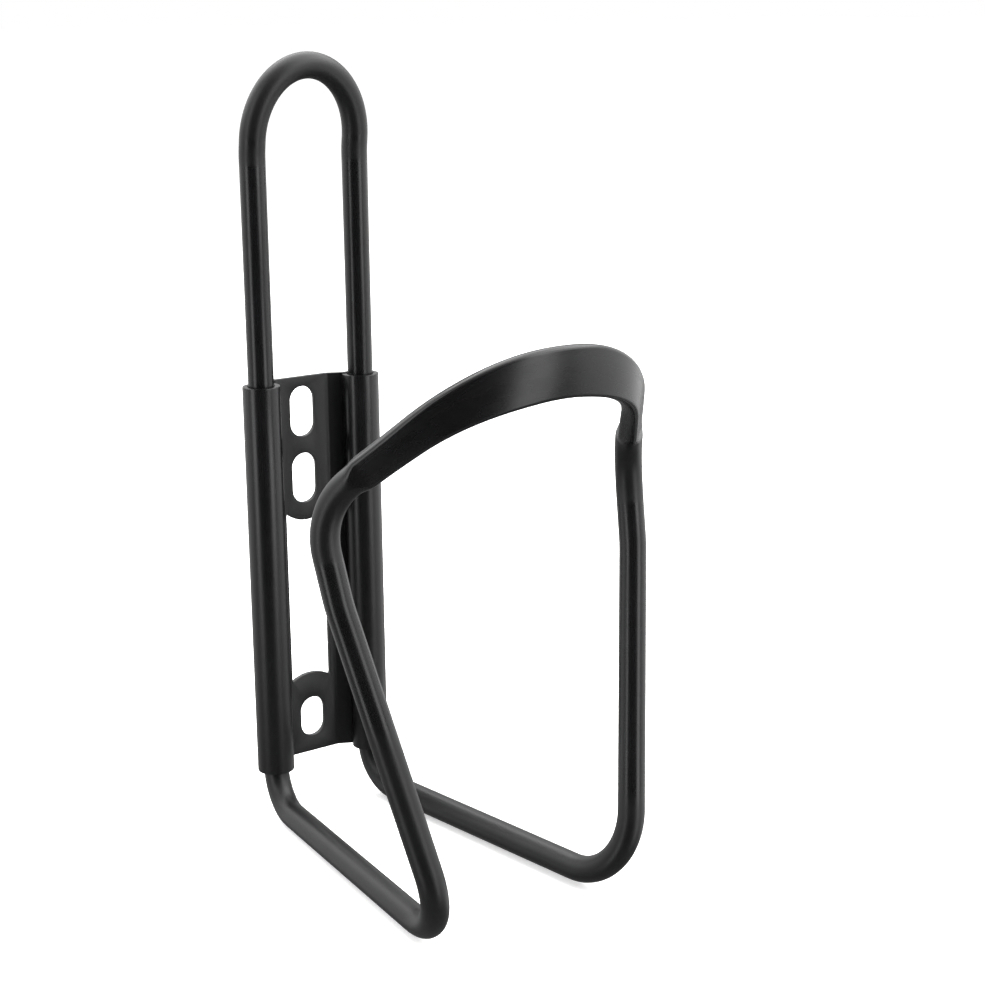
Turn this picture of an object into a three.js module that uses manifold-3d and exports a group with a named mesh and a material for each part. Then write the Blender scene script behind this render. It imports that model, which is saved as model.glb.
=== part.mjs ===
// Bicycle water bottle cage: one bent aluminium rod, held by a stamped sheet plate with rolled sleeves.
// Millimetres, +Z up. The bottle stands in front of the plate, towards -Y, and the bicycle is behind it. The
// pieces are drawn with heights from the centre of the lower bolt slot and depths from the uprights' axis. The
// whole group is then moved, so that its origin is on the rear face of the plate, between the lower slot and the
// window, where the plate rests on the bicycle frame.
import * as THREE from "three";
import { mergeVertices } from "three/addons/utils/BufferGeometryUtils.js";
import Module from "manifold-3d";

// Fixing to the bicycle frame
const boltSpacing = 64;
const slotWidth = 5.5;
const lowerSlotLength = 8.3;
const upperSlotLength = 10.1;
const upperSlotPitch = 13.5;

// Plate
const sheetThickness = 1;
const plateAboveTopBolt = 7;
const plateBelowLowerBolt = 7.5;
const flatBehindUprights = 4.4; // from the uprights' axis back to the middle of the flat sheet
const uprightToFlat = 5.2; // sideways, from an upright's axis to the bend at the flat's edge
const sheetBend = 1.5;
const windowEdgeStrip = 1.5;
const lowerTonguePast = 5.3; // metal past the end of the lower slot
const upperTonguePast = 3.6;

// Sleeves rolled round the uprights
const sleeveClearance = 0.15;
const sleeveWrapStart = THREE.MathUtils.degToRad(100); // from the +X direction, behind the rod
const sleeveWrapTurn = THREE.MathUtils.degToRad(302);
const sleeveRunIn = 1.6; // straight sheet between the web's bend and the wrap

// Rod
const rodDiameter = 5;
const rodEndGap = 1;
const uprightSpacing = 22.3;
const uprightAbovePlate = 43.9;
const loopLean = THREE.MathUtils.degToRad(7.8); // the top loop leans towards the bottle
const loopStraight = 2.4;
const loopArch = 13.8;
const loopKinkBend = 4;
const heelDrop = 7.3; // from the plate's lower edge to the corner under each upright
const heelBend = 8.2;
const armReach = 75.4;
const toeHalfWidth = 19.3;
const toeRise = 0.8;
const toeBend = 12.1;
const neckHalfWidth = 31.2; // the neck, under each shoulder, where the front upright turns back a little
const neckReach = 60.8;
const neckHeight = 46;
const neckBend = 25.3;
const shoulderHalfWidth = 32.8;
const shoulderReach = 57;
const shoulderHeight = 62;
const shoulderBend = 12.2;
const bandHalfWidth = 15.5; // half of the band's level stretch, between its corners
const bandReach = 80.5;
const bandHeight = 84.1;
const bandBend = 25.7;

// Band: the front of the loop, pressed flat, thinnest and widest in the middle
const bandThickness = 2.35;
const bandEndThickness = 3.6;
const bandEdge = 0.9; // the radius left on the edges of the pressed rod
const bandEvenHalf = 5; // along the rod, from the front centre to where the band starts to narrow
const bandFacingHalf = 22; // to where its face looks straight away from the bottle
const bandNarrowedHalf = 38; // to where it is as narrow as at its end
const bandPressedHalf = 38; // and to where the pressed part ends
const bandShoulder = 3.5; // over which flat turns back to round

const rodSides = 16;
const archSteps = 16;
const turnStep = THREE.MathUtils.degToRad(7.5);
const bandRingSpacing = 2;
const wrapStep = THREE.MathUtils.degToRad(12);
const cutMargin = 1; // how far a cutter stands out of the sheet on each side

// Values that several pieces share
const upright = uprightSpacing / 2;
const rodRadius = rodDiameter / 2;
const plateTop = boltSpacing + plateAboveTopBolt;
const plateBottom = -plateBelowLowerBolt;
const padHeight = (lowerSlotLength + lowerTonguePast) / 2;
const rearFace = flatBehindUprights + sheetThickness / 2;

// Points along straight runs that are joined by round bends. A corner with no bend is kept as it is. Two
// bends share the run between them, and a bend next to a corner with none may take the whole run.
function roundedPath(corners, step) {
  return corners.flatMap(({ at, bend }, i) => {
    if (!bend) return [at.clone()];
    const runBack = corners[i - 1].at.clone().sub(at);
    const runAhead = corners[i + 1].at.clone().sub(at);
    const halfAngle = runBack.angleTo(runAhead) / 2;
    const roomBack = runBack.length() / (corners[i - 1].bend ? 2 : 1);
    const roomAhead = runAhead.length() / (corners[i + 1].bend ? 2 : 1);
    const setback = Math.min(bend / Math.tan(halfAngle), roomBack, roomAhead);
    const start = runBack.normalize().multiplyScalar(setback);
    const end = runAhead.normalize().multiplyScalar(setback);
    const centre = start.clone().add(end).multiplyScalar(0.5 / Math.cos(halfAngle) ** 2);
    const spoke = start.clone().sub(centre);
    const axis = spoke.clone().cross(end.clone().sub(centre)).normalize();
    const turn = Math.PI - 2 * halfAngle;
    const steps = Math.ceil(turn / step);
    return Array.from({ length: steps + 1 }, (_, k) =>
      spoke.clone().applyAxisAngle(axis, (turn * k) / steps).add(centre).add(at));
  });
}

const frontCentre = new THREE.Vector3(0, -bandReach, bandHeight);

// The rod's centre line, from one end to the other, with both ends inside the left sleeve.
function rodCentreLine() {
  const kinkHeight = plateTop + uprightAbovePlate;
  const heelHeight = plateBottom - heelDrop;
  const jointHeight = (plateTop + plateBottom) / 2;
  const right = [
    { at: new THREE.Vector3(upright, 0, kinkHeight), bend: loopKinkBend },
    { at: new THREE.Vector3(upright, 0, heelHeight), bend: heelBend },
    { at: new THREE.Vector3(toeHalfWidth, -armReach, heelHeight + toeRise), bend: toeBend },
    { at: new THREE.Vector3(neckHalfWidth, -neckReach, neckHeight), bend: neckBend },
    { at: new THREE.Vector3(shoulderHalfWidth, -shoulderReach, shoulderHeight), bend: shoulderBend },
    { at: new THREE.Vector3(bandHalfWidth, -bandReach, bandHeight), bend: bandBend },
  ];
  const left = right.map(({ at, bend }) => ({ at: at.clone().setX(-at.x), bend })).reverse();
  const leftKink = left.pop();
  const halfEllipse = new THREE.EllipseCurve(0, loopStraight, upright, loopArch, Math.PI, 0, true);
  const arch = halfEllipse.getPoints(archSteps).map((p) => ({
    at: new THREE.Vector3(p.x, -p.y * Math.sin(loopLean), kinkHeight + p.y * Math.cos(loopLean)),
  }));
  return roundedPath([
    { at: new THREE.Vector3(-upright, 0, jointHeight + rodEndGap / 2) },
    leftKink, ...arch, ...right, { at: frontCentre }, ...left,
    { at: new THREE.Vector3(-upright, 0, jointHeight - rodEndGap / 2) },
  ], turnStep);
}

// The distance of each point of the rod from the front centre, measured along the rod.
function distancesFromFront(points) {
  const middle = points.findIndex((p) => p.distanceTo(frontCentre) < bandRingSpacing / 1000);
  const distance = [];
  distance[middle] = 0;
  for (let i = middle + 1; i < points.length; i++) {
    distance[i] = distance[i - 1] + points[i].distanceTo(points[i - 1]);
  }
  for (let i = middle - 1; i >= 0; i--) distance[i] = distance[i + 1] + points[i].distanceTo(points[i + 1]);
  return distance;
}

// The same line with more points on the band, where the section changes.
function dividedOnBand(points) {
  const distance = distancesFromFront(points);
  return points.flatMap((p, i) => {
    if (i === 0) return [p];
    const onBand = Math.min(distance[i], distance[i - 1]) < bandPressedHalf + bandShoulder;
    const before = points[i - 1];
    const parts = onBand ? Math.ceil(p.distanceTo(before) / bandRingSpacing) : 1;
    return Array.from({ length: parts }, (_, k) => before.clone().lerp(p, (k + 1) / parts));
  });
}

// Directions along the rod, and which way the pressed face looks: away from the bottle on the front of the
// band, and carried on from there without a twist to both ends.
function rodFrames(points, distance) {
  const middle = distance.indexOf(0);
  const last = points.length - 1;
  const runs = points.slice(1).map((p, i) => p.clone().sub(points[i]).normalize());
  const along = points.map((_, i) => {
    const before = runs[Math.max(i - 1, 0)];
    return before.clone().add(runs[Math.min(i, last - 1)]).normalize();
  });
  const faces = [];
  const face = (i, before) => {
    const awayFromBottle = new THREE.Vector3(points[i].x, points[i].y + bandReach / 2, 0);
    const lead = distance[i] <= bandFacingHalf ? awayFromBottle : faces[before];
    faces[i] = lead.clone().projectOnPlane(along[i]).normalize();
  };
  face(middle, middle);
  for (let i = middle + 1; i <= last; i++) face(i, i - 1);
  for (let i = middle - 1; i >= 0; i--) face(i, i + 1);
  return { along, faces };
}

// Half of the section's thickness and width, and the radius of its edges, at a distance from the front
// centre. The section keeps its area, so it is wide where it is thin.
function pressedSection(distance) {
  const { smoothstep, lerp } = THREE.MathUtils;
  const narrowed = smoothstep(distance, bandEvenHalf, bandNarrowedHalf);
  const rounded = smoothstep(distance, bandPressedHalf, bandPressedHalf + bandShoulder);
  const thick = lerp(lerp(bandThickness, bandEndThickness, narrowed) / 2, rodRadius, rounded);
  const edge = lerp(bandEdge, rodRadius, rounded);
  const wide = (Math.PI * rodRadius ** 2 + (4 - Math.PI) * edge ** 2) / (4 * thick);
  return { thick, wide, edge };
}

// A straight round bar, with one ring of corners for each point of the centre line. Each ring is pressed as
// far as its place needs, with its area kept, and carried to its place on the bent rod.
function rodLoop() {
  const points = dividedOnBand(rodCentreLine());
  const distance = distancesFromFront(points);
  const { along, faces } = rodFrames(points, distance);
  const steps = points.length - 1;
  const bar = new THREE.CylinderGeometry(rodRadius, rodRadius, steps, rodSides, steps);
  const corner = bar.attributes.position;
  const moved = (from, half, edge) => {
    const onMiddle = Math.abs(from) < rodRadius / 1000;
    return (from * edge) / rodRadius + (onMiddle ? 0 : Math.sign(from) * (half - edge));
  };
  for (let i = 0; i < corner.count; i++) {
    const ring = Math.round(corner.getY(i) + steps / 2);
    const { thick, wide, edge } = pressedSection(distance[ring]);
    const out = moved(corner.getX(i), thick, edge);
    const aside = moved(corner.getZ(i), wide, edge);
    const side = faces[ring].clone().cross(along[ring]);
    const place = points[ring].clone().addScaledVector(faces[ring], out).addScaledVector(side, aside);
    corner.setXYZ(i, place.x, place.y, place.z);
  }
  return bar;
}

// The middle line of the sheet's section, seen from above, from the plate's centre to the right sleeve's lip.
function sheetMiddleLine() {
  const wrapRadius = rodRadius + sleeveClearance + sheetThickness / 2;
  const onWrap = (angle) =>
    new THREE.Vector3(upright + wrapRadius * Math.cos(angle), wrapRadius * Math.sin(angle), 0);
  const wrapIn = onWrap(sleeveWrapStart);
  const heading = new THREE.Vector3(Math.sin(sleeveWrapStart), -Math.cos(sleeveWrapStart), 0);
  const wrapSteps = Math.ceil(sleeveWrapTurn / wrapStep);
  const wrap = Array.from({ length: wrapSteps + 1 }, (_, k) =>
    ({ at: onWrap(sleeveWrapStart - (sleeveWrapTurn * k) / wrapSteps) }));
  return roundedPath([
    { at: new THREE.Vector3(0, flatBehindUprights, 0) },
    { at: new THREE.Vector3(upright - uprightToFlat, flatBehindUprights, 0), bend: sheetBend },
    { at: wrapIn.clone().addScaledVector(heading, -sleeveRunIn), bend: sheetBend },
    ...wrap,
  ], wrapStep * 1.25).slice(1);
}

// The section of the whole sheet: its middle line with half of the thickness on each side.
function sheetSection() {
  const rightHalf = sheetMiddleLine();
  const line = [...rightHalf.map((p) => p.clone().setX(-p.x)).reverse(), ...rightHalf];
  const last = line.length - 1;
  const offset = (sign) => line.map((p, i) => {
    const before = p.clone().sub(line[Math.max(i - 1, 0)]).normalize();
    const after = line[Math.min(i + 1, last)].clone().sub(p).normalize();
    const mean = before.add(after).normalize();
    const half = (sign * sheetThickness) / 2;
    return new THREE.Vector2(p.x - mean.y * half, p.y + mean.x * half);
  });
  return new THREE.Shape([...offset(1), ...offset(-1).reverse()]);
}

// A hole through the flat sheet, from its outline seen from the front.
function throughSheet(outline) {
  const depth = sheetThickness + 2 * cutMargin;
  const cutter = new THREE.ExtrudeGeometry(outline, { depth, bevelEnabled: false, curveSegments: 10 });
  return cutter.rotateX(Math.PI / 2).translate(0, flatBehindUprights + depth / 2, 0);
}

function slot(height, length) {
  const round = slotWidth / 2;
  const run = length / 2 - round;
  const outline = new THREE.Shape();
  outline.absarc(0, height + run, round, 0, Math.PI);
  outline.absarc(0, height - run, round, Math.PI, 2 * Math.PI);
  return throughSheet(outline);
}

// The window between the two tongues, whose ends are rounded about the ends of the slots.
function plateWindow() {
  const half = upright - uprightToFlat - windowEdgeStrip;
  const roundCentre = (length) => length / 2 - slotWidth / 2;
  const lowRadius = slotWidth / 2 + lowerTonguePast;
  const highRadius = slotWidth / 2 + upperTonguePast;
  const lowTurn = Math.asin(half / lowRadius);
  const highTurn = Math.asin(half / highRadius);
  const outline = new THREE.Shape();
  const lowCentre = roundCentre(lowerSlotLength);
  const highCentre = boltSpacing - upperSlotPitch - roundCentre(upperSlotLength);
  const up = Math.PI / 2;
  outline.absarc(0, lowCentre, lowRadius, up + lowTurn, up - lowTurn, true);
  outline.absarc(0, highCentre, highRadius, -up + highTurn, -up - highTurn, true);
  return throughSheet(outline);
}

const manifold = await Module();
manifold.setup();

function toSolid(geometry) {
  const bare = geometry.clone().deleteAttribute("normal").deleteAttribute("uv");
  const merged = mergeVertices(bare, 1e-4);
  const mesh = new manifold.Mesh({
    numProp: 3,
    vertProperties: new Float32Array(merged.attributes.position.array),
    triVerts: new Uint32Array(merged.index.array),
  });
  return new manifold.Manifold(mesh);
}

function toGeometry(solid) {
  const { vertProperties, triVerts } = solid.getMesh();
  const geometry = new THREE.BufferGeometry();
  geometry.setAttribute("position", new THREE.BufferAttribute(vertProperties, 3));
  geometry.setIndex(new THREE.BufferAttribute(triVerts, 1));
  geometry.computeVertexNormals();
  return geometry;
}

function backPlate() {
  const depth = plateTop - plateBottom;
  const sheet = new THREE.ExtrudeGeometry(sheetSection(), { depth, bevelEnabled: false });
  sheet.translate(0, 0, plateBottom);
  const holes = [
    slot(0, lowerSlotLength),
    slot(boltSpacing - upperSlotPitch, upperSlotLength),
    slot(boltSpacing, upperSlotLength),
    plateWindow(),
  ];
  return toGeometry(holes.reduce((solid, hole) => solid.subtract(toSolid(hole)), toSolid(sheet)));
}

const satinBlackRod = new THREE.MeshStandardMaterial({ color: 0x202021, roughness: 0.35, metalness: 0.6 });
const satinBlackSheet = new THREE.MeshStandardMaterial({ color: 0x1b1b1c, roughness: 0.45, metalness: 0.6 });

function namedMesh(name, geometry, material) {
  const mesh = new THREE.Mesh(geometry, material);
  mesh.name = name;
  return mesh;
}

const cage = new THREE.Group();
cage.add(namedMesh("rod_loop", rodLoop(), satinBlackRod));
cage.add(namedMesh("back_plate", backPlate(), satinBlackSheet));
cage.position.set(0, -rearFace, -padHeight);

export default cage;
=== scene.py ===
# Bicycle water bottle cage in black anodised aluminium: one bent rod, held by a stamped plate with
# rolled sleeves. Metres, +Z up. The bottle stands in front of the plate, towards -Y, and the bicycle
# frame is behind it.
import math

import bpy
from mathutils import Matrix, Vector


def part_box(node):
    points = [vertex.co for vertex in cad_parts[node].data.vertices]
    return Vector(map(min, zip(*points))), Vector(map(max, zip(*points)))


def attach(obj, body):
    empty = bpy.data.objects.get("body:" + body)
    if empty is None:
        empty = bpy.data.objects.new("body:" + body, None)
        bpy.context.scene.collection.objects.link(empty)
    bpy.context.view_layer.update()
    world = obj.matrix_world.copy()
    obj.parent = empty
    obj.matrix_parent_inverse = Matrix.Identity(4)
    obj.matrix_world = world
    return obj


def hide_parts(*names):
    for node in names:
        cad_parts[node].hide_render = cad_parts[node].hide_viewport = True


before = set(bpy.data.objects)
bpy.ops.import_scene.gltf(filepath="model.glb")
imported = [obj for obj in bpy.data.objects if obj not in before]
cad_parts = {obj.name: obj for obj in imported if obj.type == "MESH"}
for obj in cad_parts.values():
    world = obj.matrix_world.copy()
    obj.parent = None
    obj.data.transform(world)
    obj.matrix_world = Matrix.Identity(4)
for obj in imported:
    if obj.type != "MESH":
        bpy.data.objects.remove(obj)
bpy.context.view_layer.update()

mm = 0.001

# ----------------------------------------------------------------------------------------------------
# Camera. It stands in front of the cage, to its left and a little above it, and is held almost level.
camera_aim = Vector((35.2, -16.0, 38.2)) * mm
camera_turn = math.radians(-35.39)  # about +Z, away from looking straight at the back plate
camera_rise = math.radians(14.11)
camera_roll = math.radians(-0.57)
camera_distance = 388.6 * mm

camera_lens = bpy.data.cameras.new("camera")
camera_lens.sensor_width = 36
camera_lens.lens = 69.5
camera_lens.clip_start = 10 * mm
camera = bpy.data.objects.new("camera", camera_lens)
bpy.context.collection.objects.link(camera)
looking = Matrix.Rotation(camera_turn, 4, "Z") @ Matrix.Rotation(math.pi / 2 - camera_rise, 4, "X")
looking = looking @ Matrix.Rotation(camera_roll, 4, "Z")
camera.matrix_world = Matrix.Translation(camera_aim) @ looking @ Matrix.Translation((0, 0, camera_distance))
bpy.context.scene.camera = camera

# ----------------------------------------------------------------------------------------------------
# Studio. The cage stands on its heels and toes on a pale floor that glows a little, inside a tent of
# white light. Soft boxes stand to the left and right of the camera and hang overhead, and a black
# card behind the camera gives every rod its dark middle stripe.
bpy.context.scene.view_settings.view_transform = "Standard"


def linear(hex_colour):
    """An sRGB colour, written as six hex digits, as linear red, green, blue and alpha."""
    channels = [int(hex_colour[i:i + 2], 16) / 255 for i in (0, 2, 4)]
    return [c / 12.92 if c <= 0.04045 else ((c + 0.055) / 1.055) ** 2.4 for c in channels] + [1]


def add_node(tree, kind, settings=None, links=None):
    """Adds a node. Settings are its properties, or its inputs' values. Links feed its inputs."""
    node = tree.nodes.new(kind)
    for name, value in (settings or {}).items():
        if isinstance(name, int) or name in node.inputs:
            node.inputs[name].default_value = value
        else:
            setattr(node, name, value)
    for name, source in (links or {}).items():
        tree.links.new(source, node.inputs[name])
    return node


floor_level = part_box("rod_loop")[0][2]
floor_side = 60  # so wide that its edge meets the tent at the horizon

bpy.ops.object.select_all(action="DESELECT")
bpy.ops.mesh.primitive_plane_add(size=floor_side, location=(0, 0, floor_level))
floor = bpy.context.object
floor.name = "floor"
bpy.ops.object.transform_apply()
floor.visible_glossy = False
pale_acrylic = bpy.data.materials.new("matt_pale_acrylic_floor")
pale_acrylic.use_nodes = True
pale_shader = pale_acrylic.node_tree.nodes["Principled BSDF"]
pale_shader.inputs["Base Color"].default_value = linear("efefef")
pale_shader.inputs["Roughness"].default_value = 0.9
pale_shader.inputs["Emission Color"].default_value = linear("ffffff")
pale_shader.inputs["Emission Strength"].default_value = 0.4
floor.data.materials.append(pale_acrylic)

tent = bpy.data.worlds.new("white_tent")
tent.use_nodes = True
tent_light = tent.node_tree.nodes["Background"]
tent_light.inputs["Color"].default_value = linear("ffffff")
tent_glow = 0.8  # the tent's light on the cage, while its cloth itself is seen as plain white
tent_glow_below = 0.25
dimmed_at, bright_at = -0.35, 0.05  # heights of a direction, from -1 straight down to 1 straight up
ray = add_node(tent.node_tree, "ShaderNodeLightPath")
toward = add_node(tent.node_tree, "ShaderNodeTexCoord")
direction = add_node(tent.node_tree, "ShaderNodeSeparateXYZ", None, {0: toward.outputs["Generated"]})
glow = add_node(tent.node_tree, "ShaderNodeMapRange",
                {"From Min": dimmed_at, "From Max": bright_at,
                 "To Min": tent_glow_below, "To Max": tent_glow},
                {"Value": direction.outputs["Z"]})
seen = add_node(tent.node_tree, "ShaderNodeMapRange", {"To Max": 1.0},
                {"Value": ray.outputs["Is Camera Ray"], "To Min": glow.outputs["Result"]})
tent.node_tree.links.new(seen.outputs["Result"], tent_light.inputs["Strength"])
bpy.context.scene.world = tent

tent_centre = Vector((0, -40, 50)) * mm


def stand_facing(thing, turn, rise, distance):
    """Stands a lamp or a card at a turn and a rise from the tent's centre, facing it."""
    facing = Matrix.Rotation(turn, 4, "Z") @ Matrix.Rotation(math.pi / 2 - rise, 4, "X")
    thing.matrix_world = Matrix.Translation(tent_centre) @ facing @ Matrix.Translation((0, 0, distance))
    thing.visible_camera = False


def soft_box(name, turn_degrees, rise_degrees, distance, width, height, brightness):
    """A soft box, with its brightness given against the white of the tent."""
    lamp = bpy.data.lights.new(name, "AREA")
    lamp.shape = "RECTANGLE"
    lamp.size = width
    lamp.size_y = height
    lamp.energy = brightness * math.pi * width * height
    box = bpy.data.objects.new(name, lamp)
    bpy.context.collection.objects.link(box)
    stand_facing(box, camera_turn + math.radians(turn_degrees), math.radians(rise_degrees), distance)


soft_box("soft_box_left", -50, 5, 0.9, 0.3, 1.6, 3.0)
soft_box("soft_box_right", 53, 5, 0.9, 0.34, 1.6, 3.2)
soft_box("soft_box_left_side", -115, 10, 0.9, 1.4, 1.6, 0.6)
soft_box("soft_box_right_side", 115, 5, 0.9, 1.4, 1.6, 1.1)
soft_box("soft_box_left_high", -120, 35, 0.9, 1.0, 0.6, 1.5)
soft_box("soft_box_right_high", 78, 42, 0.9, 0.8, 0.6, 2.6)
soft_box("soft_box_overhead", 160, 70, 0.9, 1.5, 1.2, 4.0)

card_distance = 1.2
card_width = 2.0
bpy.ops.mesh.primitive_plane_add(size=card_width)
black_card = bpy.context.object
black_card.name = "black_card"
stand_facing(black_card, camera_turn, 0, card_distance)
black_card.visible_diffuse = False
black_paper = bpy.data.materials.new("black_card_paper")
black_paper.use_nodes = True
black_shader = black_paper.node_tree.nodes["Principled BSDF"]
black_shader.inputs["Base Color"].default_value = linear("0a0a0a")
black_shader.inputs["Roughness"].default_value = 1.0
black_shader.inputs["Specular IOR Level"].default_value = 0.0
black_card.data.materials.append(black_paper)

# ----------------------------------------------------------------------------------------------------
# Rod loop. One length of 5 mm drawn aluminium rod, pressed flat where it crosses the front of the
# bottle, bent to shape and anodised black. Its two ends meet out of sight in the left sleeve.
rod_radius = 2.5 * mm
sleeve_clearance = 0.15 * mm
sheet_thickness = 1.0 * mm
rod_end_gap = 1.0 * mm

plate_low, plate_high = (Vector(corner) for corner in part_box("back_plate"))
sleeve_radius = rod_radius + sleeve_clearance + sheet_thickness
upright_x = plate_high.x - sleeve_radius
upright_y = plate_low.y + sleeve_radius
slot_level = plate_low.z + 7.5 * mm  # the lower slot's centre, from which the rod's heights are measured


def rod_point(x, forward, height):
    """A point of the rod in millimetres: sideways, forwards of the uprights, and above the lower slot."""
    return Vector((x * mm, upright_y - forward * mm, slot_level + height * mm))


upright = upright_x / mm
kink_height = 114.9
loop_lean = math.radians(7.8)
loop_straight = 2.4
loop_arch = 13.8
arch_points = 32
# From the middle of the band, down the right side, along the bottom and up to the loop's kink: each
# corner and the radius of its bend.
rod_corners = [
    (rod_point(0, 80.5, 84.1), 0),
    (rod_point(15.5, 80.5, 84.1), 25.7 * mm),
    (rod_point(32.78, 57.0, 62.0), 12.2 * mm),
    (rod_point(31.2, 60.8, 46.0), 25.3 * mm),
    (rod_point(19.3, 75.4, -14.0), 12.1 * mm),
    (rod_point(upright, 0, -14.8), 8.2 * mm),
    (rod_point(upright, 0, kink_height), 4 * mm),
]
for k in range(arch_points + 1):
    turn = math.pi / 2 * k / arch_points
    above_kink = loop_straight + loop_arch * math.sin(turn)
    forward = above_kink * math.sin(loop_lean)
    height = kink_height + above_kink * math.cos(loop_lean)
    rod_corners.append((rod_point(upright * math.cos(turn), forward, height), 0))

bend_step = math.radians(2)


def bent_line(corners):
    """The points of a line along straight runs, with an arc of its own radius at each corner that has one.
    Two arcs share the run between them."""
    line = []
    for i, (corner, radius) in enumerate(corners):
        if not radius:
            line.append(corner)
            continue
        back = corners[i - 1][0] - corner
        ahead = corners[i + 1][0] - corner
        half_angle = back.angle(ahead) / 2
        back_room = back.length / (2 if corners[i - 1][1] else 1)
        ahead_room = ahead.length / (2 if corners[i + 1][1] else 1)
        setback = min(radius / math.tan(half_angle), back_room, ahead_room)
        start = back.normalized() * setback
        end = ahead.normalized() * setback
        centre = (start + end) / (2 * math.cos(half_angle) ** 2)
        axis = (start - centre).cross(end - centre)
        turn = math.pi - 2 * half_angle
        steps = math.ceil(turn / bend_step)
        for k in range(steps + 1):
            spoke = Matrix.Rotation(turn * k / steps, 3, axis) @ (start - centre)
            line.append(corner + centre + spoke)
    return line


def spaced_along(line, steps):
    """Points at equal distances along a line."""
    lengths = [(b - a).length for a, b in zip(line, line[1:])]
    step = sum(lengths) / steps
    spaced = [line[0]]
    run, before = 0, 0
    for k in range(1, steps):
        while before + lengths[run] < k * step:
            before += lengths[run]
            run += 1
        spaced.append(line[run].lerp(line[run + 1], (k * step - before) / lengths[run]))
    return spaced + [line[-1]], step


def smooth_step(value, low, high):
    """Goes from 0 to 1 as a value goes from low to high, level at both ends."""
    t = min(max((value - low) / (high - low), 0), 1)
    return t * t * (3 - 2 * t)


def blend(a, b, share):
    """A value between two others."""
    return a + (b - a) * share


# The half rod is drawn straight, along X, as a bar of even rings.
rod_sides = 40
first_cuts, second_cuts = 24, 13
rod_steps = (first_cuts + 1) * (second_cuts + 1)
centre_line, rod_step = spaced_along(bent_line(rod_corners), rod_steps)
rod_length = rod_step * rod_steps

bpy.ops.object.select_all(action="DESELECT")
bpy.ops.mesh.primitive_cylinder_add(vertices=rod_sides, radius=rod_radius, depth=rod_length,
                                    end_fill_type="NOTHING", location=(rod_length / 2, 0, 0),
                                    rotation=(0, math.pi / 2, 0))
rod_loop = bpy.context.object
rod_loop.name = "bent_rod"
bpy.ops.object.transform_apply()


def select_edges(piece, wanted):
    """Selects the edges whose two ends pass a test, and nothing else."""
    bpy.context.tool_settings.mesh_select_mode = (False, True, False)
    mesh = piece.data
    for polygon in mesh.polygons:
        polygon.select = False
    for vertex in mesh.vertices:
        vertex.select = False
    for edge in mesh.edges:
        a, b = (mesh.vertices[i].co for i in edge.vertices)
        edge.select = wanted(a, b)


for cuts in (first_cuts, second_cuts):
    select_edges(rod_loop, lambda a, b: abs(a.x - b.x) > rod_step / 2)
    bpy.ops.object.mode_set(mode="EDIT")
    bpy.ops.mesh.subdivide(number_cuts=cuts)
    bpy.ops.object.mode_set(mode="OBJECT")

# The bar is pressed between two dies over the front of the cage. The middle comes out thinnest and
# widest, and the dies stop short, so that a small shoulder turns back to round rod.
band_half_thickness = 1.175 * mm
band_end_half_thickness = 1.8 * mm
band_edge = 0.9 * mm
band_facing_half = 22 * mm  # to where the band's face looks straight away from the bottle
band_even_half = 5 * mm
band_narrowed_half = 38 * mm
band_pressed_half = 38 * mm
band_shoulder = 3.5 * mm


def pressed(distance):
    """Half the thickness and half the width of the rod, and its edge radius, at a distance from the
    middle of the band. The area stays as it was."""
    narrowed = smooth_step(distance, band_even_half, band_narrowed_half)
    rounded = smooth_step(distance, band_pressed_half, band_pressed_half + band_shoulder)
    thick = blend(blend(band_half_thickness, band_end_half_thickness, narrowed), rod_radius, rounded)
    edge = blend(band_edge, rod_radius, rounded)
    wide = (math.pi * rod_radius ** 2 + (4 - math.pi) * edge ** 2) / (4 * thick)
    return thick, wide, edge


def moved_out(value, half, edge):
    """Where a point of the round section goes when the rod is pressed to a half width, with rounded
    edges. A point on the middle line stays there."""
    on_middle = abs(value) < rod_radius / 1000
    flat = 0 if on_middle else math.copysign(half - edge, value)
    return value * edge / rod_radius + flat


# The pressed bar is bent: each of its rings is carried to its place on the centre line, without a twist.
bottle_axis = rod_point(0, 40.25, 0)
level = Vector((1, 1, 0))
face = Vector((0, -1, 0))
ring_frames = []
for k, point in enumerate(centre_line):
    along = (centre_line[min(k + 1, rod_steps)] - centre_line[max(k - 1, 0)]).normalized()
    if k == 0 or k == rod_steps:
        along = Vector((1 if k == 0 else -1, 0, 0))
    if k * rod_step <= band_facing_half:
        face = (point - bottle_axis) * level
    face = (face - along * face.dot(along)).normalized()
    ring_frames.append((point, face, face.cross(along)))

# Where the tools gripped and bent the rod tightly, past the band, its finish is dull.
shiny_bend_radius, dull_bend_radius = 22 * mm, 16 * mm
dull_run_in = 1 * mm
turns = [(b - a).angle(c - b) for a, b, c in zip(centre_line, centre_line[1:], centre_line[2:])]
turns = [0] + turns + [0]
ring_dulled = []
for k in range(rod_steps + 1):
    curvature = max(turns[max(k - 1, 0):k + 2]) / rod_step
    bent_here = smooth_step(curvature, 1 / shiny_bend_radius, 1 / dull_bend_radius)
    past_band = smooth_step(k * rod_step, band_pressed_half, band_pressed_half + dull_run_in)
    ring_dulled.append(bent_here * past_band)
dulled = rod_loop.data.attributes.new("dulled", "FLOAT", "POINT")
for vertex in rod_loop.data.vertices:
    ring = round(vertex.co.x / rod_step)
    dulled.data[vertex.index].value = ring_dulled[ring]
    thick, wide, edge = pressed(ring * rod_step)
    point, face, side = ring_frames[ring]
    outwards = face * moved_out(-vertex.co.y, thick, edge)
    sideways = side * moved_out(vertex.co.z, wide, edge)
    vertex.co = point + outwards + sideways

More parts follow.
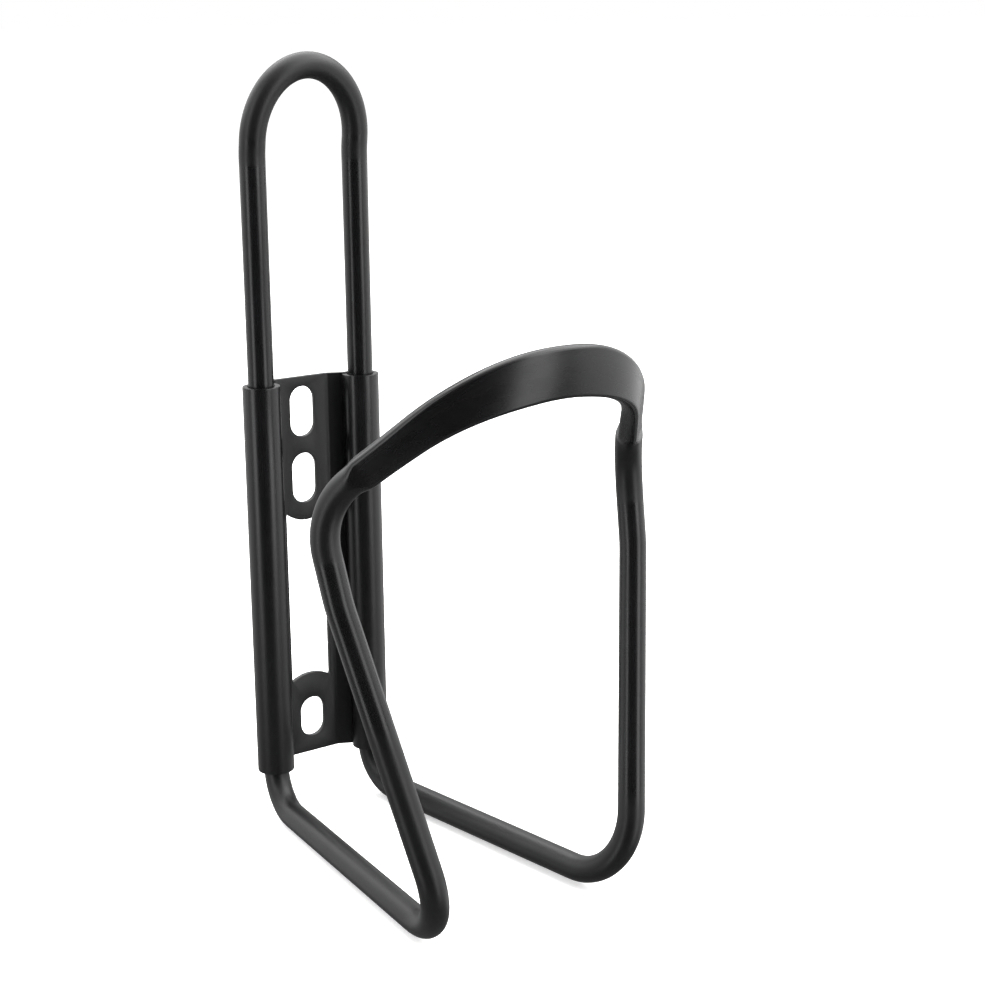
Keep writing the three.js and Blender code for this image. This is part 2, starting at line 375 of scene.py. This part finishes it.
mirror = rod_loop.modifiers.new("other_half", "MIRROR")
mirror.merge_threshold = 0.01 * mm
bpy.ops.object.modifier_apply(modifier=mirror.name)

# The two ends of the rod, cut square, half-way up inside the left sleeve.
joint_level = (plate_low.z + plate_high.z) / 2
select_edges(rod_loop, lambda a, b: False)
bpy.context.tool_settings.mesh_select_mode = (False, False, True)
for polygon in rod_loop.data.polygons:
    centre = polygon.center
    in_gap = abs(centre.z - joint_level) < rod_end_gap / 2
    on_left_upright = centre.x < 0 and abs(centre.y - upright_y) < rod_radius
    polygon.select = in_gap and on_left_upright
bpy.ops.object.mode_set(mode="EDIT")
bpy.ops.mesh.delete(type="FACE")
bpy.ops.mesh.select_all(action="SELECT")
bpy.ops.mesh.fill_holes(sides=0)
bpy.ops.mesh.select_all(action="SELECT")
bpy.ops.mesh.normals_make_consistent(inside=False)
bpy.ops.object.mode_set(mode="OBJECT")
bpy.ops.object.shade_smooth_by_angle(angle=math.radians(50))

# The lowest runs are dull too, up to a higher level on the left than on the right.
dull_slant = 0.45
dull_level, shiny_level = 2 * mm, 8 * mm
dulled = rod_loop.data.attributes["dulled"]
for vertex in rod_loop.data.vertices:
    rubbed = 1 - smooth_step(vertex.co.z + dull_slant * vertex.co.x, dull_level, shiny_level)
    dulled.data[vertex.index].value = max(rubbed, dulled.data[vertex.index].value)

# Satin anodised aluminium rod: drawn, etched and dyed black. The die left faint lines along it, the
# etch a fine grain, and the dye took a little unevenly.
rod_finish = bpy.data.materials.new("black_anodised_drawn_aluminium")
rod_finish.use_nodes = True
tree = rod_finish.node_tree
shader = tree.nodes["Principled BSDF"]
shader.inputs["Metallic"].default_value = 0.3
place = add_node(tree, "ShaderNodeTexCoord")
around, along_rod = 2 * math.pi * rod_radius, 2 * rod_length  # what the UV map's width and height span
die_line_width, die_line_length = 0.25 * mm, 15 * mm
drawn = add_node(tree, "ShaderNodeMapping",
                 {"Scale": (around / die_line_width, along_rod / die_line_length, 1)},
                 {"Vector": place.outputs["UV"]})
die_lines = add_node(tree, "ShaderNodeTexNoise", {"Scale": 1, "Detail": 2},
                     {"Vector": drawn.outputs["Vector"]})

grain_size, dye_patch = 0.3 * mm, 6 * mm
smoothest, roughest, dull_roughness = 0.24, 0.3, 0.42
relief_depth = 0.004 * mm
line_share = 0.3  # the depth of the stock's lines against that of the grain


def anodised(tree, shader, place, lines, dull):
    """The etched grain, the stock's lines, the uneven dye and the dull places of a black piece."""
    grain = add_node(tree, "ShaderNodeTexNoise", {"Scale": 1 / grain_size, "Detail": 3},
                     {"Vector": place.outputs["Object"]})
    dye = add_node(tree, "ShaderNodeTexNoise", {"Scale": 1 / dye_patch, "Detail": 4},
                   {"Vector": place.outputs["Object"]})
    colour = add_node(tree, "ShaderNodeMix",
                      {"data_type": "RGBA", 6: linear("0a0a0b"), 7: linear("141415")},
                      {0: dye.outputs["Fac"]})
    satin = add_node(tree, "ShaderNodeMapRange",
                     {"From Min": 0.3, "From Max": 0.7, "To Min": smoothest, "To Max": roughest},
                     {"Value": lines.outputs["Fac"]})
    sheen = add_node(tree, "ShaderNodeMapRange", {"To Max": dull_roughness},
                     {"Value": dull, "To Min": satin.outputs["Result"]})
    relief = add_node(tree, "ShaderNodeMath", {"operation": "MULTIPLY_ADD", 1: line_share},
                      {0: lines.outputs["Fac"], 2: grain.outputs["Fac"]})
    bump = add_node(tree, "ShaderNodeBump", {"Strength": 1, "Distance": relief_depth},
                    {"Height": relief.outputs[0]})
    tree.links.new(colour.outputs[2], shader.inputs["Base Color"])
    tree.links.new(sheen.outputs["Result"], shader.inputs["Roughness"])
    tree.links.new(bump.outputs["Normal"], shader.inputs["Normal"])


dull = add_node(tree, "ShaderNodeAttribute", {"attribute_name": "dulled"})
anodised(tree, shader, place, die_lines, dull.outputs["Fac"])
rod_loop.data.materials.clear()
rod_loop.data.materials.append(rod_finish)
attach(rod_loop, "root")
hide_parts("rod_loop")

# ----------------------------------------------------------------------------------------------------
# Back plate. Stamped from 1 mm aluminium sheet with three bolt slots and a window, folded along both
# sides and rolled round the uprights into sleeves, then anodised black with the rod.
sheet_radius = sleeve_radius - sheet_thickness / 2
flat_y = plate_high.y - sheet_thickness / 2
flat_half = upright_x - 5.2 * mm  # to where the flat and the web would meet without the fold's radius
fold_radius = 1.5 * mm
wrap_start = math.radians(100)
wrap_turn = math.radians(302)
run_in = 1.6 * mm
fold_steps = 6
wrap_steps = 60

wrap_in = Vector((upright_x, upright_y, 0))
wrap_in += sheet_radius * Vector((math.cos(wrap_start), math.sin(wrap_start), 0))
run_in_heading = Vector((math.sin(wrap_start), -math.cos(wrap_start), 0))
flat_fold = Vector((flat_half, flat_y, 0))
web_fold = wrap_in - run_in_heading * run_in
web_heading = (web_fold - flat_fold).normalized()
web_angle = math.atan2(web_heading.y, web_heading.x)
run_in_angle = math.atan2(run_in_heading.y, run_in_heading.x)
flat_setback = fold_radius * math.tan(abs(web_angle) / 2)
web_setback = fold_radius * math.tan((run_in_angle - web_angle) / 2)

bpy.ops.object.select_all(action="DESELECT")
bpy.ops.mesh.primitive_plane_add(size=1, rotation=(math.pi / 2, 0, 0))
back_plate = bpy.context.object
back_plate.name = "stamped_plate"
bpy.ops.object.transform_apply()
flat_end = flat_half - flat_setback
for vertex in back_plate.data.vertices:
    across = flat_end if vertex.co.x > 0 else 0
    vertex.co = (across, flat_y, plate_high.z if vertex.co.z > 0 else plate_low.z)
select_edges(back_plate, lambda a, b: a.x > flat_end / 2 and b.x > flat_end / 2)


def extrude_sheet(heading, length):
    """Carries the selected edge of the sheet straight on."""
    bpy.ops.mesh.extrude_region_move(TRANSFORM_OT_translate={"value": heading * length})


def roll_sheet(centre, angle, steps):
    """Carries the selected edge of the sheet round an upright line."""
    bpy.ops.mesh.spin(steps=steps, angle=angle, center=centre, axis=(0, 0, -1))


web_length = (web_fold - flat_fold).length - flat_setback - web_setback
web_start = flat_fold + web_heading * flat_setback
web_end = web_start + web_heading * web_length
to_left_of = Matrix.Rotation(math.pi / 2, 3, "Z")
bpy.ops.object.mode_set(mode="EDIT")
roll_sheet(Vector((flat_end, flat_y - fold_radius, 0)), web_angle, fold_steps)
extrude_sheet(web_heading, web_length)
roll_sheet(web_end + to_left_of @ web_heading * fold_radius, run_in_angle - web_angle, fold_steps)
extrude_sheet(run_in_heading, run_in - web_setback)
roll_sheet(Vector((upright_x, upright_y, 0)), -wrap_turn, wrap_steps)
bpy.ops.mesh.select_all(action="SELECT")
bpy.ops.mesh.remove_doubles(threshold=0.001 * mm)
bpy.ops.mesh.normals_make_consistent(inside=False)
bpy.ops.object.mode_set(mode="OBJECT")

other_side = back_plate.modifiers.new("other_side", "MIRROR")
other_side.merge_threshold = 0.01 * mm
bpy.ops.object.modifier_apply(modifier=other_side.name)
gauge = back_plate.modifiers.new("gauge", "SOLIDIFY")
gauge.thickness = sheet_thickness
gauge.offset = 0
gauge.use_even_offset = True
bpy.ops.object.modifier_apply(modifier=gauge.name)

# The punches: one for each slot, and one for the window, whose ends curve round the ends of the slots.
slot_round = 2.75 * mm
lower_slot = (0, 8.3 * mm)  # its centre's height above the lower slot, and its length
middle_slot = (50.5 * mm, 10.1 * mm)
top_slot = (64 * mm, 10.1 * mm)
lower_tongue_past = 5.3 * mm  # how far the sheet reaches past the slot's round end
upper_tongue_past = 3.6 * mm
window_half = flat_half - 1.5 * mm
window_corner = 0.6 * mm
punch_depth = 4 * mm


def round_punch(radius, height, sides=64):
    """A round punch through the flat of the plate."""
    bpy.ops.object.select_all(action="DESELECT")
    bpy.ops.mesh.primitive_cylinder_add(vertices=sides, radius=radius, depth=punch_depth,
                                        location=(0, flat_y, slot_level + height),
                                        rotation=(math.pi / 2, 0, 0))
    bpy.ops.object.transform_apply()
    return bpy.context.object


def slot_punch(height, length):
    """A round punch, with its upper half moved up and its lower half moved down."""
    punch = round_punch(slot_round, height, sides=50)
    for vertex in punch.data.vertices:
        up = 1 if vertex.co.z > slot_level + height + 0.001 * mm else -1
        vertex.co.z += up * (length / 2 - slot_round)
    return punch


def cut_with(piece, punch):
    """Takes the punch out of a piece, and the punch away."""
    bpy.ops.object.select_all(action="DESELECT")
    bpy.context.view_layer.objects.active = piece
    piece.select_set(True)
    cut = piece.modifiers.new("cut", "BOOLEAN")
    cut.operation = "DIFFERENCE"
    cut.solver = "EXACT"
    cut.object = punch
    bpy.ops.object.modifier_apply(modifier=cut.name)
    bpy.data.objects.remove(punch)


for height, length in (lower_slot, middle_slot, top_slot):
    cut_with(back_plate, slot_punch(height, length))

low_centre = lower_slot[1] / 2 - slot_round
high_centre = middle_slot[0] - (middle_slot[1] / 2 - slot_round)
bpy.ops.object.select_all(action="DESELECT")
window_middle = slot_level + (low_centre + high_centre) / 2
window_punch_depth = 3.6 * mm
bpy.ops.mesh.primitive_cube_add(size=1, location=(0, flat_y, window_middle),
                                scale=(2 * window_half, window_punch_depth, high_centre - low_centre))
window_punch = bpy.context.object
bpy.ops.object.transform_apply()
cut_with(window_punch, round_punch(slot_round + lower_tongue_past, low_centre, sides=96))
cut_with(window_punch, round_punch(slot_round + upper_tongue_past, high_centre, sides=96))
near_side = window_half - 0.05 * mm
select_edges(window_punch, lambda a, b: abs(a.y - b.y) > punch_depth / 2 and abs(a.x) > near_side)
bpy.ops.object.mode_set(mode="EDIT")
bpy.ops.mesh.bevel(offset=window_corner, segments=6)
bpy.ops.object.mode_set(mode="OBJECT")
cut_with(back_plate, window_punch)

soft_edges = back_plate.modifiers.new("deburred_edges", "BEVEL")
soft_edges.width = 0.15 * mm
soft_edges.segments = 2
soft_edges.angle_limit = math.radians(50)
bpy.ops.object.modifier_apply(modifier=soft_edges.name)
bpy.ops.object.shade_smooth_by_angle(angle=math.radians(35))

# Satin anodised aluminium sheet: rolled, stamped, etched and dyed black. The mill left faint lines up
# it. Its flat and its lower half are duller than its webs and sleeves.
sheet_finish = bpy.data.materials.new("black_anodised_sheet_aluminium")
sheet_finish.use_nodes = True
tree = sheet_finish.node_tree
shader = tree.nodes["Principled BSDF"]
shader.inputs["Metallic"].default_value = 0.3
place = add_node(tree, "ShaderNodeTexCoord")
mill_line_width, mill_line_length = 0.35 * mm, 12 * mm
rolled = add_node(tree, "ShaderNodeMapping",
                  {"Scale": (1 / mill_line_width, 1 / mill_line_width, 1 / mill_line_length)},
                  {"Vector": place.outputs["Object"]})
mill_lines = add_node(tree, "ShaderNodeTexNoise", {"Scale": 1, "Detail": 2},
                      {"Vector": rolled.outputs["Vector"]})
where = add_node(tree, "ShaderNodeSeparateXYZ", None, {0: place.outputs["Object"]})
shiny_height, dull_height = 50 * mm, 10 * mm
shiny_depth, dull_depth = -3 * mm, -1.5 * mm
dull_low = add_node(tree, "ShaderNodeMapRange", {"From Min": shiny_height, "From Max": dull_height},
                    {"Value": where.outputs["Z"]})
dull_flat = add_node(tree, "ShaderNodeMapRange", {"From Min": shiny_depth, "From Max": dull_depth},
                     {"Value": where.outputs["Y"]})
dull = add_node(tree, "ShaderNodeMath", {"operation": "MAXIMUM"},
                {0: dull_low.outputs["Result"], 1: dull_flat.outputs["Result"]})
anodised(tree, shader, place, mill_lines, dull.outputs[0])
back_plate.data.materials.clear()
back_plate.data.materials.append(sheet_finish)
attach(back_plate, "root")
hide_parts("back_plate")
